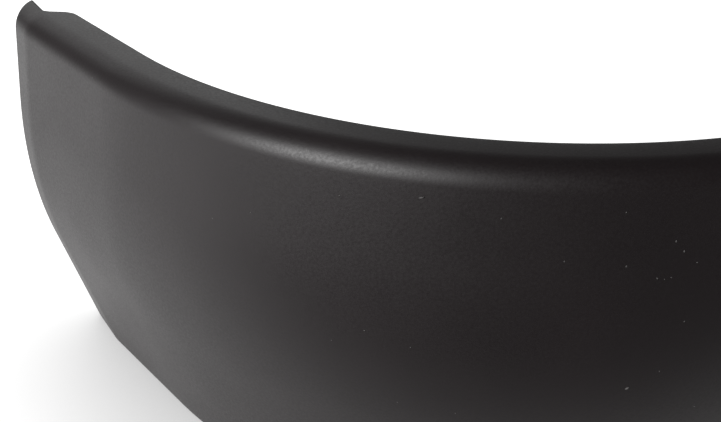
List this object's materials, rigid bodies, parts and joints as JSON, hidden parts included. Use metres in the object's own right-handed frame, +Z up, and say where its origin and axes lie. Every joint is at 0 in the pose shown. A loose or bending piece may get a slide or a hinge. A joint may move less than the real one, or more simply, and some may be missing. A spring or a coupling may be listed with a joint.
{
  "type": "bumper strip",
  "caption": "Satin black moulded bumper corner strip with a rolled top shoulder and a tucked lower face, ribbed and clipped behind, made to cover and protect a bumper's corner.",
  "frame": {"origin": "on the floor under the middle of the strip's box", "axes": "+X along the rear leg towards the rear end, -Y out of the rear face, +Z up from the lower edge to the shoulder"},
  "size_m": [0.3668, 0.1352, 0.1],
  "materials": {
    "black_plastic": "satin black with a fine moulded grain, a little dust and one small nick"
  },
  "bodies": {
    "root": {"bumper_strip": "black_plastic"}
  },
  "joints": []
}
